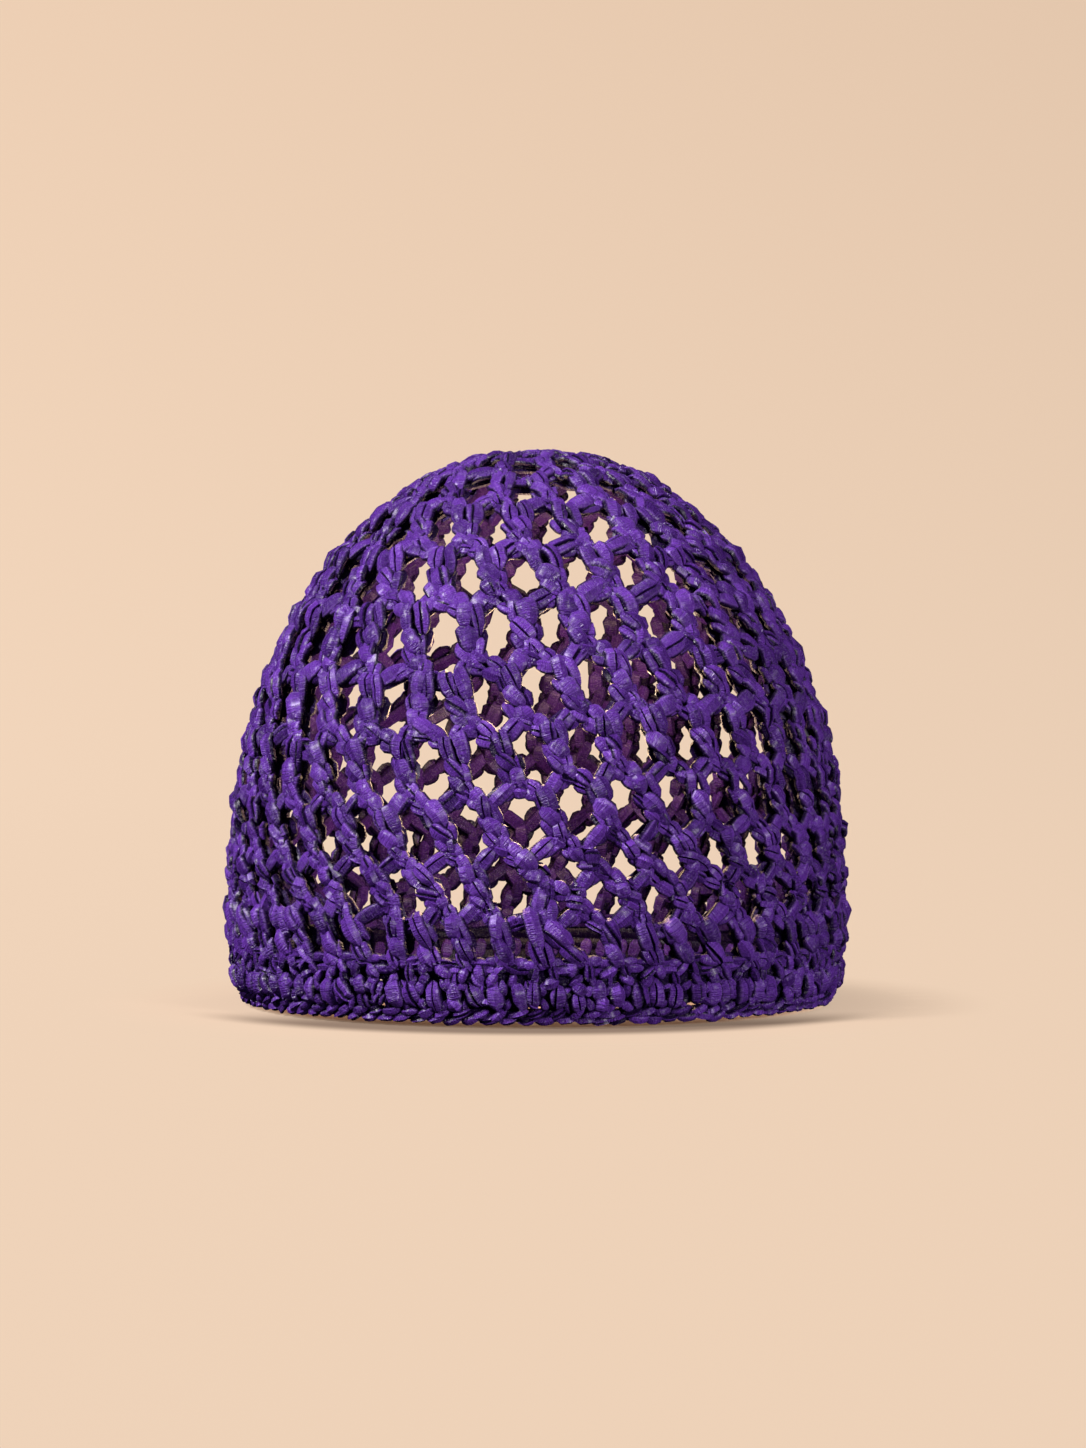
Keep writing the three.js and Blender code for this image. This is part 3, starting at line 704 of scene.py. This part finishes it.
EDGE_LINKS = 104
for i in range(EDGE_LINKS):
    t = TAU * (i + RNG.normal(0, 0.08)) / EDGE_LINKS
    bead(edge, t, 208.3 + RNG.normal(0, 0.25), wide(5.6, 0.1), wide(2.6), 2.0,
         rad(112) + RNG.normal(0, 0.16), w=1.3, sink=1.4, head="leaf", tail="leaf", steps=2,
         roll=RNG.normal(0, 0.2))
    bead(edge, t + TAU / EDGE_LINKS * 0.5, 210.6 + RNG.normal(0, 0.15), wide(5.8, 0.1),
         wide(2.6), 2.0, rad(104) + RNG.normal(0, 0.14), w=1.1, sink=1.4, head="leaf",
         tail="leaf", steps=2, roll=RNG.normal(0, 0.2))
    bead(edge, t + TAU / EDGE_LINKS * 0.3, 209.4, 6.3, 2.6, 1.6, rad(90), w=-2.0, sink=-0.6,
         steps=2, plain=True, inward=True)

# ---------------------------------------------------------------------------
# Materials
# ---------------------------------------------------------------------------


def ribbon_material(name, deep, base, light):
    m = bpy.data.materials.new(name)
    m.use_nodes = True
    nt = m.node_tree
    nt.nodes.clear()
    new, link_ = nt.nodes.new, nt.links.new
    out = new("ShaderNodeOutputMaterial")
    bsdf = new("ShaderNodeBsdfPrincipled")
    link_(bsdf.outputs[0], out.inputs[0])
    bsdf.inputs["Specular IOR Level"].default_value = 0.22
    bsdf.inputs["Sheen Weight"].default_value = 0.02
    bsdf.inputs["Sheen Roughness"].default_value = 0.4
    bsdf.inputs["Sheen Tint"].default_value = (0.62, 0.50, 1.0, 1)
    bsdf.inputs["Coat Weight"].default_value = 0.13           # smooth, so its glints stay clean
    bsdf.inputs["Coat Roughness"].default_value = 0.30

    mark = new("ShaderNodeAttribute")
    mark.attribute_name = "ribbon"
    sep = new("ShaderNodeSeparateXYZ")
    link_(mark.outputs["Vector"], sep.inputs[0])
    open_ = new("ShaderNodeAttribute")
    open_.attribute_name = "open"
    coord = new("ShaderNodeTexCoord")

    def math_(op, a, b=None, clamp=False):
        n = new("ShaderNodeMath")
        n.operation = op
        n.use_clamp = clamp
        for i, x in enumerate((a, b)):
            if x is None:
                continue
            if isinstance(x, (int, float)):
                n.inputs[i].default_value = x
            else:
                link_(x, n.inputs[i])
        return n.outputs[0]

    def noise(scale, detail, rough=0.5, vector=None):
        n = new("ShaderNodeTexNoise")
        n.inputs["Scale"].default_value = scale
        n.inputs["Detail"].default_value = detail
        n.inputs["Roughness"].default_value = rough
        link_(vector or coord.outputs["Object"], n.inputs["Vector"])
        return n.outputs["Fac"]

    def own_scale(x, y):
        n = new("ShaderNodeMapping")
        n.inputs["Scale"].default_value = (x, y, 1.0)
        link_(own, n.inputs["Vector"])
        return n.outputs[0]

    # the ribbon's own coordinates: across and along in millimetres, one plane each
    comb = new("ShaderNodeCombineXYZ")
    link_(math_("MULTIPLY", sep.outputs[0], 1.6), comb.inputs[0])
    link_(sep.outputs[1], comb.inputs[1])
    link_(math_("MULTIPLY", sep.outputs[2], 37.0), comb.inputs[2])
    own = comb.outputs[0]
    folds = noise(1.0, 3.0, 0.55, own_scale(1.6, 0.22))       # creases along the ribbon
    wrinkle = noise(1.0, 2.0, 0.6, own_scale(0.25, 1.35))     # fine wrinkles across it
    facet = new("ShaderNodeTexVoronoi")                       # flat facets between creases
    facet.feature = "F1"
    facet.inputs["Scale"].default_value = 0.55
    link_(own, facet.inputs["Vector"])
    grain = noise(2400.0, 2.0, 0.6)
    cloud = noise(60.0, 2.0)

    tone = math_("ADD", math_("MULTIPLY", sep.outputs[2], 0.30), math_("MULTIPLY", folds, 0.46))
    tone = math_("ADD", tone, math_("MULTIPLY", grain, 0.34))
    tone = math_("ADD", tone, math_("MULTIPLY", cloud, 0.10))
    ramp = new("ShaderNodeValToRGB")
    ramp.color_ramp.elements[0].position = 0.34
    ramp.color_ramp.elements[0].color = (*base, 1)
    ramp.color_ramp.elements[1].position = 0.80
    ramp.color_ramp.elements[1].color = (*light, 1)
    # painted highlight: the brightest tones turn pale lilac, as glints on the folds
    painted_glint = ramp.color_ramp.elements.new(0.93)
    painted_glint.color = (0.32, 0.185, 0.56, 1)
    link_(tone, ramp.inputs[0])
    # painted highlight: the folded edges are painted lighter, as if they catch a little more light
    rim = math_("MULTIPLY", math_("SUBTRACT", math_("ABSOLUTE", sep.outputs[0]), 0.62), 3.4,
                clamp=True)
    rim = math_("MULTIPLY", math_("MULTIPLY", rim, open_.outputs["Fac"]), 0.30)
    edge_highlight = new("ShaderNodeMix")
    edge_highlight.data_type = "RGBA"
    link_(rim, edge_highlight.inputs[0])
    link_(ramp.outputs[0], edge_highlight.inputs[6])
    edge_highlight.inputs[7].default_value = (0.33, 0.17, 0.66, 1)
    # painted shade: the sides and undersides are painted towards the deep colour, as the dark between
    # the straps
    shade = new("ShaderNodeMapRange")
    shade.interpolation_type = "SMOOTHSTEP"
    link_(open_.outputs["Fac"], shade.inputs[0])
    shade.inputs[1].default_value = 0.36
    shade.inputs[2].default_value = 0.98
    mix = new("ShaderNodeMix")
    mix.data_type = "RGBA"
    link_(shade.outputs[0], mix.inputs[0])
    mix.inputs[6].default_value = (*deep, 1)
    link_(edge_highlight.outputs[2], mix.inputs[7])
    link_(mix.outputs[2], bsdf.inputs["Base Color"])
    rough = new("ShaderNodeMapRange")
    link_(math_("ADD", math_("MULTIPLY", grain, 0.5), math_("MULTIPLY", folds, 0.5)),
          rough.inputs[0])
    rough.inputs[3].default_value = 0.17
    rough.inputs[4].default_value = 0.36
    link_(rough.outputs[0], bsdf.inputs["Roughness"])

    groove = math_("MULTIPLY", math_("ABSOLUTE", math_("SUBTRACT", wrinkle, 0.5)), 9.0, clamp=True)
    height = math_("ADD", math_("MULTIPLY", folds, 0.40), math_("MULTIPLY", groove, 0.32))
    height = math_("ADD", height, math_("MULTIPLY", facet.outputs["Distance"], 0.20))
    height = math_("ADD", height, math_("MULTIPLY", grain, 0.20))
    bump = new("ShaderNodeBump")
    bump.inputs["Strength"].default_value = 0.9
    bump.inputs["Distance"].default_value = 0.0009
    link_(height, bump.inputs["Height"])
    link_(bump.outputs[0], bsdf.inputs["Normal"])
    return m


# deep is the painted shade colour; base and light are the ribbon's darker and lighter tones
mat_dome = ribbon_material("ribbon_openwork", (0.006, 0.0008, 0.022), (0.021, 0.0040, 0.072),
                           (0.112, 0.031, 0.315))
mat_band = ribbon_material("ribbon_band", (0.006, 0.0008, 0.022), (0.021, 0.0040, 0.070),
                           (0.110, 0.031, 0.310))
mat_edge = ribbon_material("ribbon_edge", (0.006, 0.0008, 0.022), (0.021, 0.0040, 0.070),
                           (0.110, 0.031, 0.310))


def make_mesh(bucket, material, node):
    verts = np.vstack(bucket.verts) * 0.001
    quads = np.vstack(bucket.quads)
    caps = bucket.caps
    me = bpy.data.meshes.new(bucket.name)
    me.vertices.add(len(verts))
    me.vertices.foreach_set("co", verts.astype(np.float32).ravel())
    loops = np.concatenate([quads.ravel()] + caps)
    me.loops.add(len(loops))
    me.loops.foreach_set("vertex_index", loops.astype(np.int32))
    sizes = np.concatenate([np.full(len(quads), 4), [len(c) for c in caps]]).astype(np.int32)
    starts = np.concatenate([[0], np.cumsum(sizes)[:-1]]).astype(np.int32)
    me.polygons.add(len(sizes))
    me.polygons.foreach_set("loop_start", starts)
    me.polygons.foreach_set("loop_total", sizes)
    me.polygons.foreach_set("use_smooth", np.ones(len(sizes), bool))
    attr = me.attributes.new("ribbon", "FLOAT_VECTOR", "POINT")
    attr.data.foreach_set("vector", np.vstack(bucket.marks).astype(np.float32).ravel())
    attr = me.attributes.new("open", "FLOAT", "POINT")
    attr.data.foreach_set("value", np.concatenate(bucket.shades).astype(np.float32))
    me.update(calc_edges=True)
    me.validate()
    me.set_sharp_from_angle(angle=rad(42))
    me.materials.append(material)
    ob = bpy.data.objects.new(bucket.name, me)
    bpy.context.scene.collection.objects.link(ob)
    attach(ob, "root")
    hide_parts(node)
    return ob


for name, b in buckets.items():
    if name == "rim_band":
        make_mesh(b, mat_band, name)
    elif name == "rim_edge":
        make_mesh(b, mat_edge, name)
    else:
        make_mesh(b, mat_dome, name)
print("triangles", {n: b.tris for n, b in buckets.items()}, "total",
      sum(b.tris for b in buckets.values()))

# ---------------------------------------------------------------------------
# Floor, backdrop, lights and camera
# ---------------------------------------------------------------------------


def backdrop():
    """One sheet that runs from in front of the cap to behind it and curves up."""
    far, radius, top = 1.6, 1.1, 3.2
    path = [(-3.0, 0.0), (-1.5, 0.0), (-0.6, 0.0), (0.0, 0.0), (0.6, 0.0), (far, 0.0)]
    for i in range(1, 17):
        a = math.pi / 2 * i / 16
        path.append((far + radius * math.sin(a), radius * (1 - math.cos(a))))
    path.append((far + radius, top))
    verts, faces = [], []
    xs = np.linspace(-3.5, 3.5, 15)
    for x in xs:
        for y, z in path:
            verts.append((float(x), y, z))
    n = len(path)
    for i in range(len(xs) - 1):
        for j in range(n - 1):
            faces.append((i * n + j, (i + 1) * n + j, (i + 1) * n + j + 1, i * n + j + 1))
    me = bpy.data.meshes.new("backdrop")
    me.from_pydata(verts, [], faces)
    me.polygons.foreach_set("use_smooth", np.ones(len(faces), bool))
    m = bpy.data.materials.new("paper_backdrop")
    m.use_nodes = True
    nt = m.node_tree
    new, link_ = nt.nodes.new, nt.links.new
    b = nt.nodes["Principled BSDF"]
    b.inputs["Base Color"].default_value = (0.50, 0.365, 0.275, 1)
    b.inputs["Roughness"].default_value = 0.9
    b.inputs["Specular IOR Level"].default_value = 0.1
    # away from the cap the sheet glows evenly, as paper lit on its own does
    coord = new("ShaderNodeTexCoord")
    length = new("ShaderNodeVectorMath")
    length.operation = "LENGTH"
    link_(coord.outputs["Object"], length.inputs[0])
    axis = new("ShaderNodeSeparateXYZ")
    link_(coord.outputs["Object"], axis.inputs[0])

    def ramp_(source, x0, x1, y0, y1):
        n = new("ShaderNodeMapRange")
        n.interpolation_type = "SMOOTHSTEP"
        for k, value in enumerate((x0, x1, y0, y1)):
            n.inputs[k + 1].default_value = value
        link_(source, n.inputs[0])
        return n.outputs[0]

    def combine(op, a, b):
        n = new("ShaderNodeMath")
        n.operation = op
        link_(a, n.inputs[0])
        link_(b, n.inputs[1])
        return n.outputs[0]

    near = ramp_(length.outputs["Value"], 0.080, 0.089, 0.0, 0.62)
    far_ = combine("ADD", near, ramp_(length.outputs["Value"], 0.090, 0.14, 0.0, 0.38))
    # painted shadow: the soft shadow that the rim throws forward is painted into the sheet's colour
    # and its glow
    contact = ramp_(length.outputs["Value"], 0.097, 0.113, 0.68, 0.0)
    front = ramp_(axis.outputs[1], -0.030, -0.075, 0.0, 1.0)
    shadow = combine("MULTIPLY", contact, front)
    up = new("ShaderNodeMapRange")
    up.inputs[1].default_value = -0.2
    up.inputs[2].default_value = 1.3
    link_(axis.outputs[2], up.inputs[0])
    tint = new("ShaderNodeMix")
    tint.data_type = "RGBA"
    link_(up.outputs[0], tint.inputs[0])
    tint.inputs[6].default_value = (0.880, 0.668, 0.502, 1)
    tint.inputs[7].default_value = (0.780, 0.560, 0.400, 1)
    # painted light: the glow is a little stronger on the left and weaker on the right, as the light
    # falls from the left
    side = new("ShaderNodeMapRange")
    side.inputs[1].default_value = -0.6
    side.inputs[2].default_value = 0.6
    side.inputs[3].default_value = 1.04
    side.inputs[4].default_value = 0.93
    link_(axis.outputs[0], side.inputs[0])
    shaded = new("ShaderNodeMix")
    shaded.data_type = "RGBA"
    link_(shadow, shaded.inputs[0])
    link_(tint.outputs[2], shaded.inputs[6])
    shaded.inputs[7].default_value = (0.05, 0.012, 0.002, 1)
    glow = new("ShaderNodeEmission")
    link_(shaded.outputs[2], glow.inputs[0])
    link_(side.outputs[0], glow.inputs[1])
    paper = new("ShaderNodeMix")
    paper.data_type = "RGBA"
    link_(shadow, paper.inputs[0])
    paper.inputs[6].default_value = (0.50, 0.365, 0.275, 1)
    paper.inputs[7].default_value = (0.05, 0.035, 0.03, 1)
    link_(paper.outputs[2], b.inputs["Base Color"])
    mix = new("ShaderNodeMixShader")
    link_(far_, mix.inputs[0])
    link_(b.outputs[0], mix.inputs[1])
    link_(glow.outputs[0], mix.inputs[2])
    link_(mix.outputs[0], nt.nodes["Material Output"].inputs[0])
    me.materials.append(m)
    ob = bpy.data.objects.new("backdrop", me)
    bpy.context.scene.collection.objects.link(ob)
    ob.visible_diffuse = False      # its glow is for the picture only: the lamps light the cap
    ob.visible_glossy = False
    return ob


backdrop()


def area(name, loc, target, size, power, colour):
    data = bpy.data.lights.new(name, "AREA")
    data.shape = "RECTANGLE"
    data.size, data.size_y = size
    data.energy = power
    data.color = colour
    ob = bpy.data.objects.new(name, data)
    ob.location = loc
    ob.rotation_euler = (Vector(target) - Vector(loc)).to_track_quat("-Z", "Y").to_euler()
    bpy.context.scene.collection.objects.link(ob)
    return ob


area("key", (-1.0, -0.50, 1.02), (0, 0, 0.08), (0.20, 0.20), 43, (1.0, 0.97, 0.95))
area("top", (0.20, -0.10, 1.5), (0, 0, 0.0), (1.0, 0.9), 1.2, (1.0, 0.97, 0.95))
area("fill", (0.8, -1.2, 0.45), (0, 0, 0.08), (0.26, 0.26), 20.0, (1.0, 0.95, 0.92))
behind = area("back", (0.7, 1.3, 0.7), (0, 0, 0.08), (0.5, 0.5), 8.0, (1.0, 0.93, 0.88))
behind.visible_glossy = False
# light from the paper that finds its way inside
inside = bpy.data.lights.new("inside", "POINT")
inside.energy = 0.42
inside.color = (1.0, 0.66, 0.40)
inside.shadow_soft_size = 0.03
lamp = bpy.data.objects.new("inside", inside)
lamp.location = (0, 0.0, 0.085)
bpy.context.scene.collection.objects.link(lamp)

world = bpy.data.worlds.new("studio")
bpy.context.scene.world = world
world.use_nodes = True
bg = world.node_tree.nodes["Background"]
bg.inputs[0].default_value = (1.0, 0.93, 0.86, 1)
bg.inputs[1].default_value = 0.10
world.cycles_visibility.glossy = False

scene = bpy.context.scene
scene.view_settings.view_transform = "Standard"
scene.view_settings.look = "None"

CAM_DIST, CAM_H = 1.35, 0.118
AIM_X, AIM_Z = 0.0018, 0.0834
cam_data = bpy.data.cameras.new("camera")
cam_data.sensor_width = 36.0
cam_data.lens = 18.0 / (0.2172 / math.hypot(CAM_DIST, CAM_H - AIM_Z))
cam_data.clip_start = 0.01
cam = bpy.data.objects.new("camera", cam_data)
cam.location = (AIM_X, -CAM_DIST, CAM_H)
cam.rotation_euler = (Vector((AIM_X, 0, AIM_Z)) - cam.location).to_track_quat("-Z", "Y").to_euler()
scene.collection.objects.link(cam)
scene.camera = cam
